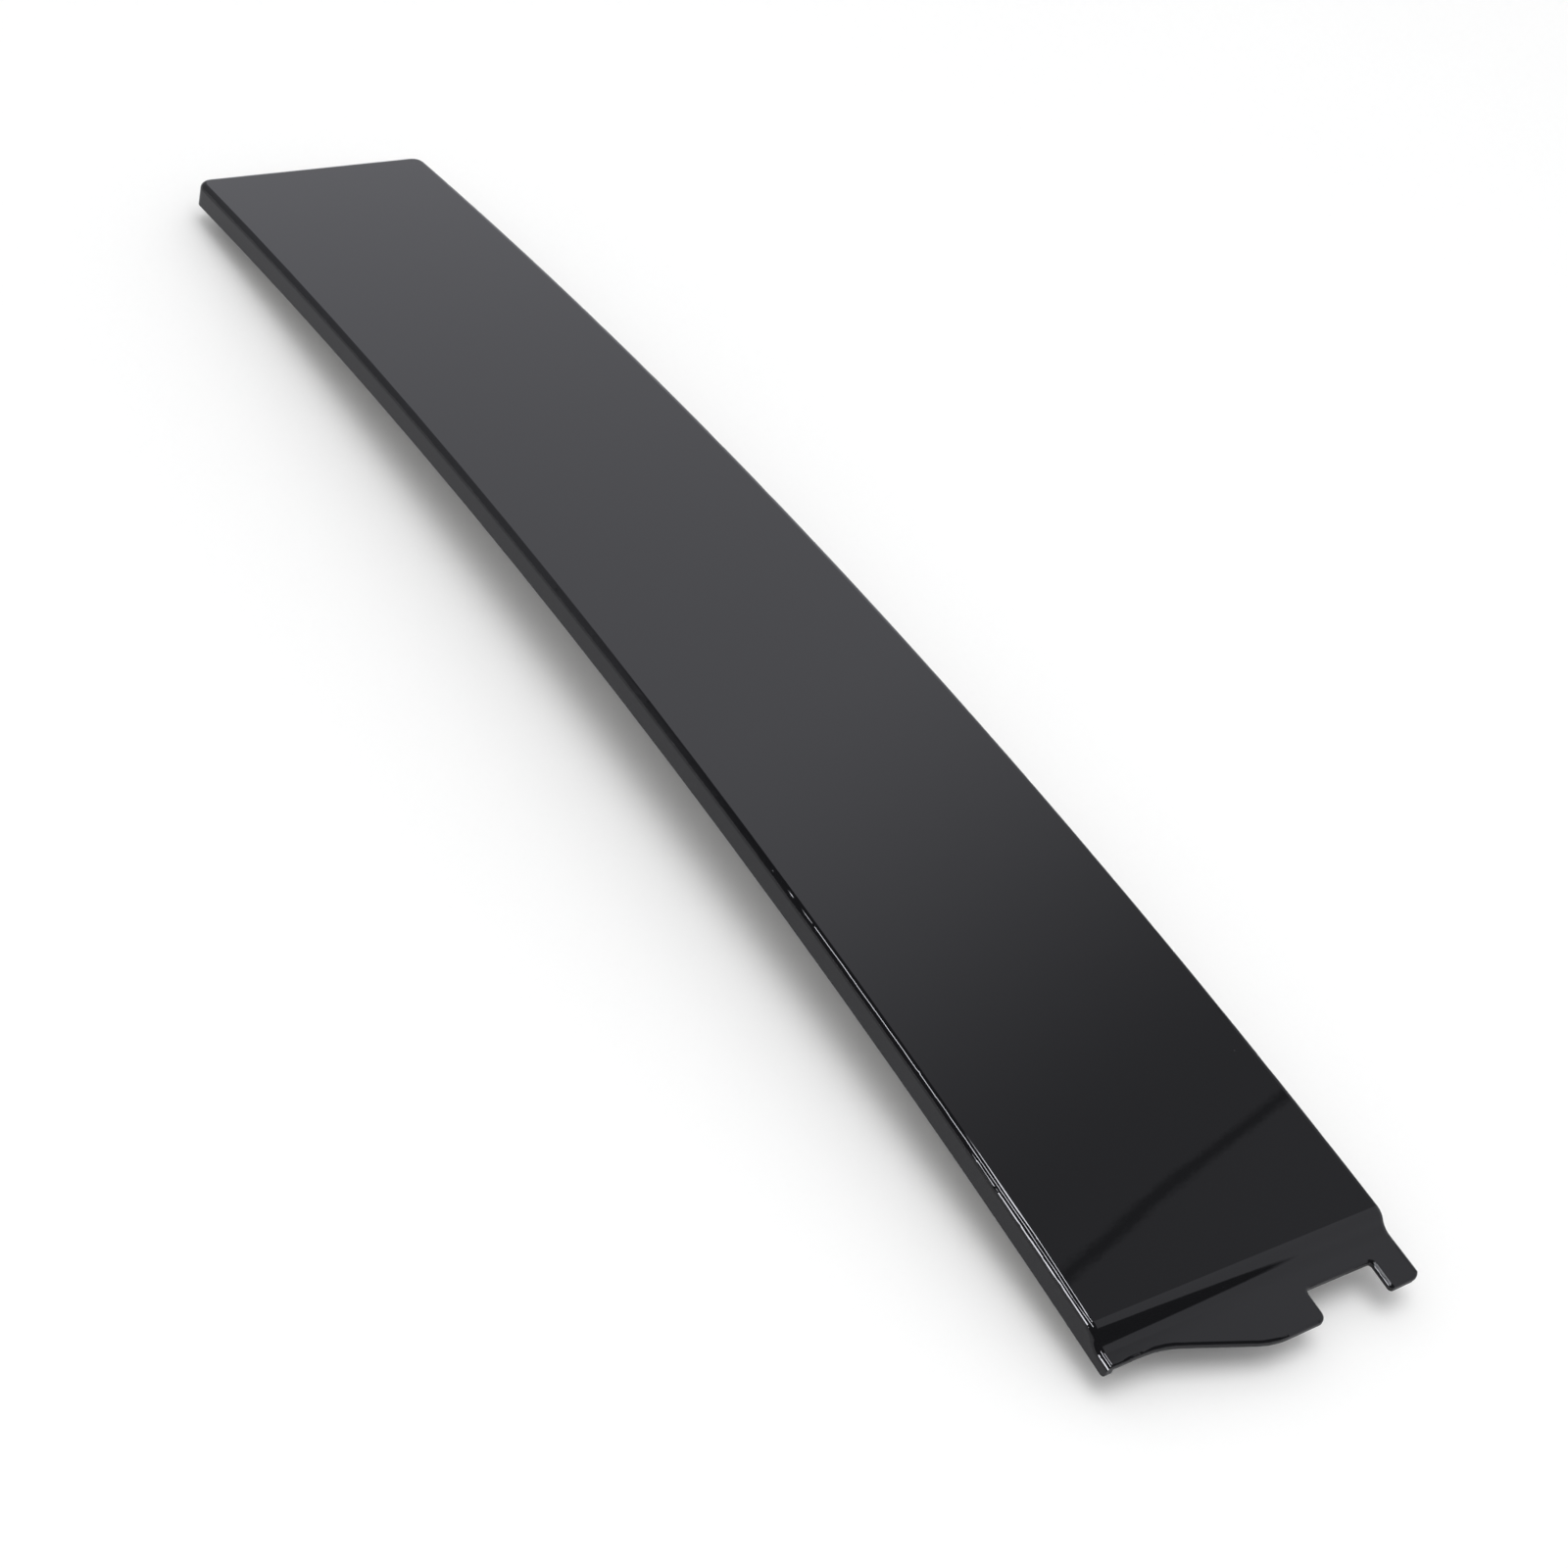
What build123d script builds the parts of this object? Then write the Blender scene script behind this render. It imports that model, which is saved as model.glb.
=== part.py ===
"""A door pillar trim plate: a long, bowed, gloss moulded cover that snaps onto a door frame.

The cover is one moulding: a skin with a rolled return along its shut side and its head, a low lip
along its glass side, and at its foot a joggle down to a notched tongue that tucks under a belt
seal. Its back carries ribs, locating pins and five clip houses. The other pieces are the five push
clips with their foam seals, three strips of foam tape with their release liners, and three
anti-rattle foams.

Millimetres. A place on the cover is (s, y, n): s runs along the bow from the step to the head, y
across towards the shut side, and n out of the face. X follows s, and +Z is out of the face at the
crown of the bow. The bow's axis leans with the step, a little off square to the cover. All walls and
clips run along Z, which is how the mould opens and how the cover is pushed onto a door.
"""

from build123d import *
import math
import os

# Cover, outside
bow_radius = 1960.0  # of the face, bent about an axis across the cover
face_length = 480.0  # along the bow, from the step to the head, on the centreline
foot_width = 94.0  # across the face at the step
head_width = 74.6  # across the face at the head
head_slant = 7.8  # degrees that the head's edge leans off square
step_skew = 1.6  # degrees that the step and the bow's axis lean off square
wall = 2.4  # skin
return_wall = 2.0  # shut-side and head returns
return_depth = 7.6  # from the face down to the shut-side and head returns' edge
lip_wall = 1.6  # glass-side lip
lip_depth = 4.4  # from the face down to the lip's edge
lip_start = 4.0  # s where the lip starts
roll_radius = 1.8  # along the face's shut side, head and glass side
shut_head_corner = 4.0  # plan radius where the shut side meets the head
glass_head_corner = 4.0  # plan radius where the glass side meets the head

# Joggle and tongue
step_drop = 3.2  # from the face down to the tongue
joggle_top = 1.7  # s where the face turns down into the joggle
joggle_run = 7.4  # from there to where it comes out on the tongue
tongue_wall = 1.6
tongue_roll_radius = 0.9  # along the tongue's outline
return_end_radius = 1.6  # at the lower corner of the shut-side return's end
tongue_reach = 19.2  # from the step to the tongue's tip
tongue_short = 7.6  # from the step to the tongue's end at the shut side
ogee_start = 30.5  # y where the tongue's edge turns out to its full reach
ogee_end = 2.2  # y where it gets there
ogee_start_radius = 32.0
ogee_end_radius = 24.0
notch_width = 21.7
notch_depth = 9.6  # from the tongue's tip
finger_width = 10.9  # between the notch and the glass side
lobe_corner = 2.1
notch_shut_corner = 1.3
notch_glass_corner = 1.0
finger_inner_corner = 1.2
finger_outer_corner = 3.0

# Ribs, houses and locating pins on the back
rib_wall = 1.1
rib_height = 2.8
rib_side_reach = 13.0  # y of the long side ribs
rib_end_gap = 17.5  # from a clip's axis to the first cross rib
rib_overhang = 4.0  # cross ribs past the side ribs
first_clip = 38.0  # s of the clip nearest the step
clip_spacing = 100.0
clip_count = 5
house_wall = 1.6
house_head_room = 2.8  # between the skin and the slotted plate
house_plate = 1.8
house_clearance = 0.8  # between a clip's head and the house's walls
slot_clearance = 0.2  # each side of a clip's neck
slot_float = 0.6  # that a clip can go past its seat
slot_flare = 1.4  # that the slot opens each side at the house's mouth
slot_flare_depth = 2.4
locator_radius = 3.0
locator_length = 9.0  # of the plain pin below its boss
locator_tip = 1.0  # its chamfer
locator_boss_radius = 4.6
locator_boss_height = 6.2  # from the skin
gusset_reach = 10.5  # from the locating pin's axis
locator_bays = (1, 3)  # counted from the step
foam_bays = (0, 2)

# Push clips
clip_head_radius = 7.0
clip_head_thickness = 1.4
clip_head_edge = 0.6  # its upper edge's radius
clip_neck_radius = 3.0
clip_play = 0.15  # above and below the house's plate
clip_brim_radius = 8.0
clip_brim_thickness = 1.2
clip_brim_cup = 0.5  # that the brim's rim stands below its middle
clip_leg_span = 6.0  # across the two legs at the brim
clip_barb_span = 9.4  # across the barbs
clip_barb_drop = 5.6  # from the brim to the barbs' widest point
clip_tip_span = 3.4
clip_leg_length = 11.0
clip_leg_thickness = 1.4
clip_leg_width = 5.0
clip_leg_root = 0.3  # of straight leg past the seal
clip_tip_length = 2.0  # where the legs are joined
clip_tip_slot = 1.0  # the gap between the legs where they join

# Seals, tape, liners and foam
seal_radius = 8.6
seal_bore = 4.2
seal_thickness = 2.2
seal_edge_radius = 0.5
tape_width = 9.0
tape_thickness = 1.2
tape_inset = 1.2  # from a return's or lip's inner face
tape_step_gap = 12.0  # from the step to the side tapes' lower ends
tape_head_gap = 17.0  # from the head's edge to the side tapes' upper ends
head_tape_gap = 4.5  # from the head's edge to the head tape
head_tape_side_gap = 3.0  # between the head tape and the side tapes
liner_thickness = 0.25
liner_tab = 9.0  # that a liner runs past its tape
bond_gap = 0.03  # between pieces that are stuck together
foam_length = 24.0
foam_width = 19.0
foam_height = 7.8
foam_pocket_gap = 1.5  # each side of a foam block, to its pocket's ribs
tongue_foam_length = 5.5  # along s
tongue_foam_width = 22.0
tongue_foam_thickness = 2.0
tongue_foam_place = (-9.8, 1.0)  # s and y of its middle

# Worked out from the sizes above
head_tangent = math.tan(math.radians(head_slant))
crown = (face_length + head_width / 2 * head_tangent - tongue_reach) / 2  # s of the bow's top
clip_stations = [first_clip + clip_spacing * i for i in range(clip_count)]
reach = 4 * foot_width  # past everything, for blanks and cutters
far_s = face_length + foot_width  # past the head
deep_floor = -reach / 4  # under everything
skew_tangent = math.tan(math.radians(step_skew))


def along(s, n=0.0):
    """X of a station."""
    return (bow_radius + n) * math.sin((s - crown) / bow_radius)


def height(s, n=0.0):
    """Z of a station."""
    return (bow_radius + n) * math.cos((s - crown) / bow_radius) - bow_radius


def half_width(s):
    """Half the cover's width at a station."""
    share = s / face_length
    return (foot_width * (1 - share) + head_width * share) / 2


def on_plan(s, y):
    """A place on the cover's plan."""
    return (along(s), y)


def bow_arc(n, from_s, to_s):
    """The bow's line at height n over the face, in (X, Z)."""
    start = 90 - math.degrees((from_s - crown) / bow_radius)
    size = math.degrees((from_s - to_s) / bow_radius)
    return CenterArc((0, -bow_radius), bow_radius + n, start, size)


def across(line, floor):
    """The face between a line drawn in (X, Z) and a flat floor."""
    start, end = line[0] @ 0, line[-1] @ 1
    corner, far_corner = (end.X, floor), (start.X, floor)
    ends = [Line(end, corner), Line(corner, far_corner), Line(far_corner, start)]
    return make_face([*line, *ends])


def swept(face):
    """A face drawn in (X, Z), carried across the cover along the bow's axis."""
    blank = extrude(Pos(0, reach / 2, 0) * (Plane.XZ * face), reach, dir=(0, -1, 0))
    return Pos(along(0), 0, 0) * Rot(0, 0, -step_skew) * Pos(-along(0), 0, 0) * blank


def under_bow(n):
    """Everything under the plain bow at height n."""
    return swept(across([bow_arc(n, far_s, -foot_width)], deep_floor))


def s_bend(start, end, leaving, arriving):
    """Two arcs from one line's end to another's start that meet halfway without a kink."""
    gap = end - start
    along_both = gap.dot(leaving + arriving)
    turn = 2 * (1 - leaving.dot(arriving))
    handle = gap.dot(gap) / (along_both + math.sqrt(along_both**2 + turn * gap.dot(gap)))
    middle = (start + end + (leaving - arriving) * handle) / 2
    upper = TangentArc(start, middle, tangent=leaving)
    return [upper, TangentArc(middle, end, tangent=upper % 1)]


def under_skin(face_wall=0.0, tongue_depth=0.0):
    """Everything under the joggled skin, or under what a wall's thickness leaves of it."""
    slope = 2 * math.atan(step_drop / joggle_run)  # the joggle's steepest
    top_s = joggle_top + face_wall * math.tan(slope / 2)
    bow = bow_arc(-face_wall, far_s, top_s)
    tongue = bow_arc(-step_drop - tongue_depth, top_s - joggle_run, -foot_width)
    joggle = s_bend(bow @ 1, tongue @ 0, bow % 1, tongue % 0)
    return swept(across([bow, *joggle, tongue], deep_floor))


def layer(upper, lower, plan):
    """A plan's part of the plain bowed layer between two heights."""
    return (upright(plan) & under_bow(upper)) - under_bow(lower)


def rounded(face, corners):
    """Rounds the corners of a face, given as (point, radius)."""
    for point, radius in corners:
        corner = min(face.vertices(), key=lambda v: (Vector(v) - point).length)
        face = fillet(corner, radius)
    return face


def upright(plan):
    """A plan's prism, tall enough to pass through everything."""
    return extrude(Pos(0, 0, 1.1 * deep_floor) * plan, -1.2 * deep_floor)


def head_s(y):
    """s of the head's edge at y."""
    return face_length + y * head_tangent


def head_corner_y(side, gap=0.0):
    """y where the head's edge, taken in by gap, meets a side: +1 shut side, -1 glass side."""
    slope = (head_width - foot_width) / 2 / face_length
    # y = side * (foot_width / 2 + slope * s) with s = face_length - gap + y * head_tangent
    return side * (foot_width / 2 + slope * (face_length - gap)) / (1 - side * slope * head_tangent)


def cover_corners(outer_corner):
    """The corners of the cover's outline, each with its plan radius."""
    shut, glass = head_corner_y(1), head_corner_y(-1)
    notch_glass = -half_width(-tongue_reach) + finger_width
    notch_shut = notch_glass + notch_width
    notch_top = notch_depth - tongue_reach
    return [
        (head_s(shut), shut, shut_head_corner),
        (-tongue_short, half_width(-tongue_short), 0),
        (-tongue_short - 0.3, ogee_start, ogee_start_radius),
        (-tongue_reach + 0.1, ogee_end, ogee_end_radius),
        (-tongue_reach, notch_shut, lobe_corner),
        (notch_top + notch_shut * skew_tangent, notch_shut, notch_shut_corner),
        (notch_top + notch_glass * skew_tangent, notch_glass, notch_glass_corner),
        (-tongue_reach, notch_glass, finger_inner_corner),
        (-tongue_reach, -half_width(-tongue_reach), outer_corner),
        (head_s(glass), glass, glass_head_corner),
    ]


def polygon(corners):
    """A face on plan with its corners left sharp."""
    return make_face(Polyline(*[on_plan(s, y) for s, y, _ in corners], close=True))


def upright_edge(body, s, y):
    """The body's upright edge nearest a place on plan."""
    edges = [edge for edge in body.edges() if abs(edge.tangent_at(0.5).Z) > 0.999]
    x, _ = on_plan(s, y)
    return min(edges, key=lambda edge: math.hypot(edge.center().X - x, edge.center().Y - y))


def cover_block(outer_corner):
    """Everything inside the cover's outline and under its skin, the upright corners rounded."""
    corners = cover_corners(outer_corner)
    block = upright(polygon(corners)) & under_skin()
    for s, y, radius in corners:
        if radius:
            block = fillet(upright_edge(block, s, y), radius)
    return block


def rolled_block():
    """The block with its upper outline rolled, more tightly round the tongue than along the sides."""
    sides = cover_block(0)
    head_edge = outline_edges(sides).sort_by(Axis.X)[-1]
    sides = fillet(head_edge, roll_radius)  # which runs on down both sides to their sharp ends
    tongue = cover_block(finger_outer_corner)
    tongue = fillet(outline_edges(tongue), tongue_roll_radius)
    return sides & tongue


def back_plan():
    """What the returns and the lip leave open, running out past the tongue."""
    shut = head_corner_y(1, return_wall)
    glass = head_corner_y(-1, return_wall)
    corners = [
        (head_s(shut) - return_wall, shut - return_wall, shut_head_corner - return_wall),
        (-foot_width, half_width(-foot_width) - return_wall, 0),
        (-foot_width, -foot_width, 0),
        (lip_start, -foot_width, 0),
        (lip_start, -half_width(lip_start) + lip_wall, 0),
        (head_s(glass) - return_wall, glass + lip_wall, glass_head_corner - return_wall),
    ]
    return rounded(polygon(corners), [(Vector(*on_plan(s, y)), r) for s, y, r in corners if r])


def strip_plan(from_s, to_s, y_at):
    """A strip of tape on plan: y_at(s) gives its two edges."""
    points = [(from_s, y_at(from_s)[0]), (to_s, y_at(to_s)[0])]
    points += [(to_s, y_at(to_s)[1]), (from_s, y_at(from_s)[1])]
    return make_face(Polyline(*[on_plan(s, y) for s, y in points], close=True))


def block_plan(s, y, length, width):
    """A rectangle on plan, by its middle."""
    return Pos(along(s), y) * Rectangle(length, width)


def outline_edges(body):
    """The edges round the cover's upper side."""
    upper = [face for face in body.faces() if face.normal_at(face.center()).Z > 0.5]
    seen = [edge for face in upper for edge in face.edges()]
    return ShapeList(edge for edge in seen if seen.count(edge) == 1)


def house_height(s):
    """Z of the underside of a clip house's plate."""
    return height(s, -wall) - house_head_room - house_plate


def clip_house(s):
    """A three-walled house with a slotted plate, open towards the glass side."""
    inner = clip_head_radius + house_clearance
    outer = inner + house_wall
    mouth = clip_head_radius + house_clearance / 2
    tall = house_plate + house_head_room + wall
    base = house_height(s)
    box = Pos(0, (outer - mouth) / 2, base + tall / 2) * Box(2 * outer, outer + mouth, tall)
    room = Pos(0, (inner - reach) / 2, base + house_plate + tall / 2) * Box(
        2 * inner, inner + reach, tall
    )
    slot_half = clip_neck_radius + slot_clearance
    slot_plan = Pos(0, slot_float) * Circle(slot_half)
    slot_plan += Pos(0, slot_float - reach / 2) * Rectangle(2 * slot_half, reach)
    mouth_flare = Polyline(
        (-slot_half - slot_flare, -mouth),
        (slot_half + slot_flare, -mouth),
        (slot_half, -mouth + slot_flare_depth),
        (-slot_half, -mouth + slot_flare_depth),
        close=True,
    )
    slot_plan += make_face(mouth_flare)
    slot = Pos(0, 0, base - tall) * extrude(slot_plan, 2 * tall)
    return Pos(along(s), 0, 0) * (box - room - slot)


def locator(s):
    """A locating pin on a gusseted boss."""
    root = height(s, -wall)
    boss_base = root - locator_boss_height
    boss = Pos(0, 0, boss_base) * extrude(Circle(locator_boss_radius), locator_boss_height + wall)
    pin = Pos(0, 0, boss_base - locator_length - locator_tip) * (
        extrude(Circle(locator_radius), locator_length + locator_tip + 1)
    )
    pin = chamfer(pin.faces().sort_by(Axis.Z)[0].edges(), locator_tip)
    gusset_tall = locator_boss_height - rib_height / 2
    gussets = Pos(0, 0, root + wall - (gusset_tall + wall) / 2) * (
        Box(2 * gusset_reach, rib_wall, gusset_tall + wall)
        + Box(rib_wall, 2 * gusset_reach, gusset_tall + wall)
    )
    return Pos(along(s), 0, 0) * (boss + gussets + pin)


def rib_plan():
    """The rib grid between the clip houses, on plan."""
    ribs = []
    cross_half = rib_side_reach + rib_overhang
    for bay, (lower, upper) in enumerate(zip(clip_stations, clip_stations[1:])):
        first, last = lower + rib_end_gap, upper - rib_end_gap
        middle = (first + last) / 2
        pocket = foam_length / 2 + foam_pocket_gap
        crossings = [first, last]
        if bay in foam_bays:
            crossings += [middle - pocket, middle + pocket]
        else:
            crossings += [middle - (last - first) / 6, middle + (last - first) / 6]
        for s in crossings:
            ribs.append(block_plan(s, 0, rib_wall, 2 * cross_half))
        for side in (-1, 1):
            ribs.append(block_plan(middle, side * rib_side_reach, last - first, rib_wall))
        house_side = clip_head_radius + house_clearance
        for start, end in ((lower + house_side, middle - pocket), (middle + pocket, upper - house_side)):
            ribs.append(block_plan((start + end) / 2, 0, end - start, rib_wall))
    foot = (clip_stations[0] - rib_end_gap, -1)
    head = (clip_stations[-1] + rib_end_gap, 1)
    for s, way in (foot, head):
        ribs.append(block_plan(s, 0, rib_wall, 2 * cross_half))
        gap = rib_end_gap - clip_head_radius - house_clearance
        ribs.append(block_plan(s - way * gap / 2, 0, gap, rib_wall))
    plan = ribs[0]
    for rib in ribs[1:]:
        plan += rib
    return plan


def bay_middle(bay):
    """s of the middle of a bay between two clips."""
    return (clip_stations[bay] + clip_stations[bay + 1]) / 2


def cover_panel():
    """The moulding."""
    hollow = upright(back_plan()) & under_skin(wall, tongue_wall)
    glass_side = strip_plan(
        lip_start - foot_width,
        face_length - glass_head_corner,
        lambda s: (-foot_width, 2 * lip_wall - half_width(s)),
    )
    above_lip = upright(glass_side) & under_bow(-lip_depth)
    moulding = rolled_block() - under_bow(-return_depth) - hollow - above_lip
    end_x, end_z = along(-tongue_short), height(-tongue_short, -return_depth)
    end_middle = Vector(end_x, half_width(-tongue_short) - return_wall / 2, end_z)
    end_edge = min(moulding.edges(), key=lambda edge: (edge.center() - end_middle).length)
    moulding = fillet(end_edge, return_end_radius)
    trimmer = under_bow(-wall / 2)
    for s in clip_stations:
        moulding += clip_house(s) & trimmer
    for bay in locator_bays:
        moulding += locator(bay_middle(bay)) & trimmer
    return moulding + layer(-wall / 2, -wall - rib_height, rib_plan())


def clip_profile():
    """Side view of a clip's two sprung legs, from the brim down, in (X, Z)."""
    brim = -clip_play - clip_brim_thickness
    barb = brim - clip_barb_drop
    tip = brim - clip_leg_length
    half = [
        (clip_leg_span / 2, brim + clip_brim_thickness / 2),
        (clip_leg_span / 2, brim - seal_thickness - clip_leg_root),
        (clip_barb_span / 2, barb),
        (clip_tip_span / 2, tip),
    ]
    outer = make_face(Polyline(*half, *[(-x, z) for x, z in reversed(half)], close=True))
    lean = math.atan2((clip_barb_span - clip_leg_span) / 2, barb - brim + seal_thickness)
    inner_half = [
        (clip_leg_span / 2 - clip_leg_thickness, brim - clip_leg_root),
        (clip_leg_span / 2 - clip_leg_thickness, brim - seal_thickness - 2 * clip_leg_root),
        (clip_barb_span / 2 - clip_leg_thickness / abs(math.cos(lean)), barb),
        (clip_tip_slot / 2, tip + clip_tip_length),
    ]
    window = make_face(
        Polyline(*inner_half, *[(-x, z) for x, z in reversed(inner_half)], close=True)
    )
    return outer - window


def push_clip(s):
    """A clip in its seat, its neck on the house's axis."""
    plate_top = house_plate + clip_play
    head = Pos(0, 0, plate_top) * extrude(Circle(clip_head_radius), clip_head_thickness)
    head = fillet(head.edges().group_by(Axis.Z)[-1], clip_head_edge)
    neck = Pos(0, 0, -clip_play - clip_brim_thickness / 2) * extrude(
        Circle(clip_neck_radius), plate_top + clip_play + clip_brim_thickness / 2 + 0.2
    )
    top, base = -clip_play, -clip_play - clip_brim_thickness
    brim_line = Polyline(
        (0, top),
        (clip_brim_radius - 1.5, top),
        (clip_brim_radius, top - clip_brim_cup),
        (clip_brim_radius, base),
        (0, base),
        close=True,
    )
    brim = revolve(Plane.XZ * make_face(brim_line), Axis.Z)
    legs_face = Pos(0, clip_leg_width / 2, 0) * (Plane.XZ * clip_profile())
    legs = extrude(legs_face, clip_leg_width, dir=(0, -1, 0))
    legs &= extrude(Pos(0, 0, -reach / 4) * Circle(clip_barb_span / 2 + 0.2), reach / 2)
    return Pos(along(s), 0, house_height(s)) * (head + neck + brim + legs)


def clip_seal(s):
    """The foam ring under a clip's brim."""
    ring = extrude(Circle(seal_radius) - Circle(seal_bore), seal_thickness)
    lower_edges = ring.edges().filter_by(GeomType.CIRCLE).group_by(Axis.Z)[0]
    ring = fillet(lower_edges.sort_by(SortBy.RADIUS)[-1], seal_edge_radius)
    top = -clip_play - clip_brim_thickness - bond_gap
    return Pos(along(s), 0, house_height(s) + top - seal_thickness) * ring


def side_strip(side, from_s, to_s):
    """A side tape's plan: +1 shut side, -1 glass side."""
    edge_wall = return_wall if side > 0 else lip_wall
    outer = edge_wall + tape_inset

    def edges(s):
        return (side * (half_width(s) - outer), side * (half_width(s) - outer - tape_width))

    return strip_plan(from_s, to_s, edges)


def head_strip():
    """The head tape's plan."""
    inner = [
        half_width(face_length) - edge_wall - tape_inset - tape_width - head_tape_side_gap
        for edge_wall in (return_wall, lip_wall)
    ]
    outer_gap = return_wall + head_tape_gap
    points = []
    for y, gap in (
        (inner[0], outer_gap),
        (inner[0], outer_gap + tape_width),
        (-inner[1], outer_gap + tape_width),
        (-inner[1], outer_gap),
    ):
        points.append(on_plan(head_s(y) - gap, y))
    return make_face(Polyline(*points, close=True))


def tape_top():
    """n of a tape's upper face."""
    return -wall - bond_gap


def tapes_and_liners():
    """Three strips of double-sided tape and their liners."""
    low, high = tape_step_gap, face_length - tape_head_gap
    plans = {
        "shut_side": (side_strip(1, low, high), side_strip(1, low - liner_tab, high)),
        "glass_side": (side_strip(-1, low, high), side_strip(-1, low - liner_tab, high)),
        "head": (head_strip(), head_strip()),
    }
    upper = tape_top()
    lower = upper - tape_thickness
    liner_top = lower - bond_gap
    made = {}
    for name, (tape_plan, liner_plan) in plans.items():
        made[name + "_tape"] = layer(upper, lower, tape_plan)
        made[name + "_liner"] = layer(liner_top, liner_top - liner_thickness, liner_plan)
    return made


def foams():
    """Two anti-rattle blocks and the tongue's strip."""
    made = {}
    for name, bay in zip(("lower_foam_block", "upper_foam_block"), foam_bays):
        s = bay_middle(bay)
        base = height(s, -wall) - foam_height
        block = Pos(along(s), 0, base + foam_height) * Box(foam_length, foam_width, 2 * foam_height)
        made[name] = block & under_bow(-wall - bond_gap)
    s, y = tongue_foam_place
    top = -step_drop - tongue_wall - bond_gap
    strip = block_plan(s, y, tongue_foam_length, tongue_foam_width)
    made["tongue_foam"] = layer(top, top - tongue_foam_thickness, strip)
    return made


def build():
    """Every piece by its node's name, in the cover's own frame."""
    pieces = {"cover_panel": cover_panel()}
    for number, s in enumerate(clip_stations, 1):
        pieces[f"push_clip_{number}"] = push_clip(s)
        pieces[f"clip_seal_{number}"] = clip_seal(s)
    pieces.update(tapes_and_liners())
    pieces.update(foams())
    return pieces


def frame_shift(pieces):
    """Moves the middle of the underside of everything to the origin."""
    box = Compound(children=[Compound(piece.solids()) for piece in pieces.values()]).bounding_box()
    return Pos(-(box.min.X + box.max.X) / 2, -(box.min.Y + box.max.Y) / 2, -box.min.Z)


def main():
    os.makedirs("parts", exist_ok=True)
    pieces = build()
    shift = frame_shift(pieces)
    for name, piece in pieces.items():
        solids = (shift * piece).solids()
        export_step(solids[0] if len(solids) == 1 else Compound(solids), f"parts/{name}.step")


if __name__ == "__main__":
    main()
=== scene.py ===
"""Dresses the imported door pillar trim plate: finishes, foam, tape, liners, floor, light and camera."""

import math

import bmesh
import bpy
import numpy as np
from bpy.props import FloatProperty, FloatVectorProperty, PointerProperty
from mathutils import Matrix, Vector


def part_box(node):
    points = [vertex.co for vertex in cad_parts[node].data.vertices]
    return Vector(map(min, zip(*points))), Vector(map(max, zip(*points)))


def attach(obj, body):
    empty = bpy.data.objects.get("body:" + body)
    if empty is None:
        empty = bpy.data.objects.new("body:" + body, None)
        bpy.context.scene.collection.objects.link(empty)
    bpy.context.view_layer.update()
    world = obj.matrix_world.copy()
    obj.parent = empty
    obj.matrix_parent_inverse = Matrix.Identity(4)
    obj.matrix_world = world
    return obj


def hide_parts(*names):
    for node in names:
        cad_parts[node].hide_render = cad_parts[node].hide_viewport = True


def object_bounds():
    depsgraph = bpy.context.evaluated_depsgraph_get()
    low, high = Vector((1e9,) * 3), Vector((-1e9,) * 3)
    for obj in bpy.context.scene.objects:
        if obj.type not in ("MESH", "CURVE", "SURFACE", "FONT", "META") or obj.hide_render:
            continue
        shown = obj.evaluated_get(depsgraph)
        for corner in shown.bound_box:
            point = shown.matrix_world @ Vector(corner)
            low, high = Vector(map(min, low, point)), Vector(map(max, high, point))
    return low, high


bl_info = {
    "name": "Door Pillar Trim Plate",
    "version": (1, 0, 0),
    "blender": (4, 5, 0),
    "location": "3D View > Sidebar > Trim Plate",
    "description": "Builds the finishes, soft pieces and studio of a door pillar trim plate",
    "category": "Object",
}

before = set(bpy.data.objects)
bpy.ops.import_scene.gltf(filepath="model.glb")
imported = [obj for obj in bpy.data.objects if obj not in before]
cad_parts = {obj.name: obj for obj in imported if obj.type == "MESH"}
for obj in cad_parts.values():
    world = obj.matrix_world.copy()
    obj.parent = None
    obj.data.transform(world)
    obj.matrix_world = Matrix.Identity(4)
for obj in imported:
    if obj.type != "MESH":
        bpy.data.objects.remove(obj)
CAD_LOW, CAD_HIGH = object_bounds()
FACE_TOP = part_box("cover_panel")[1].z


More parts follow.
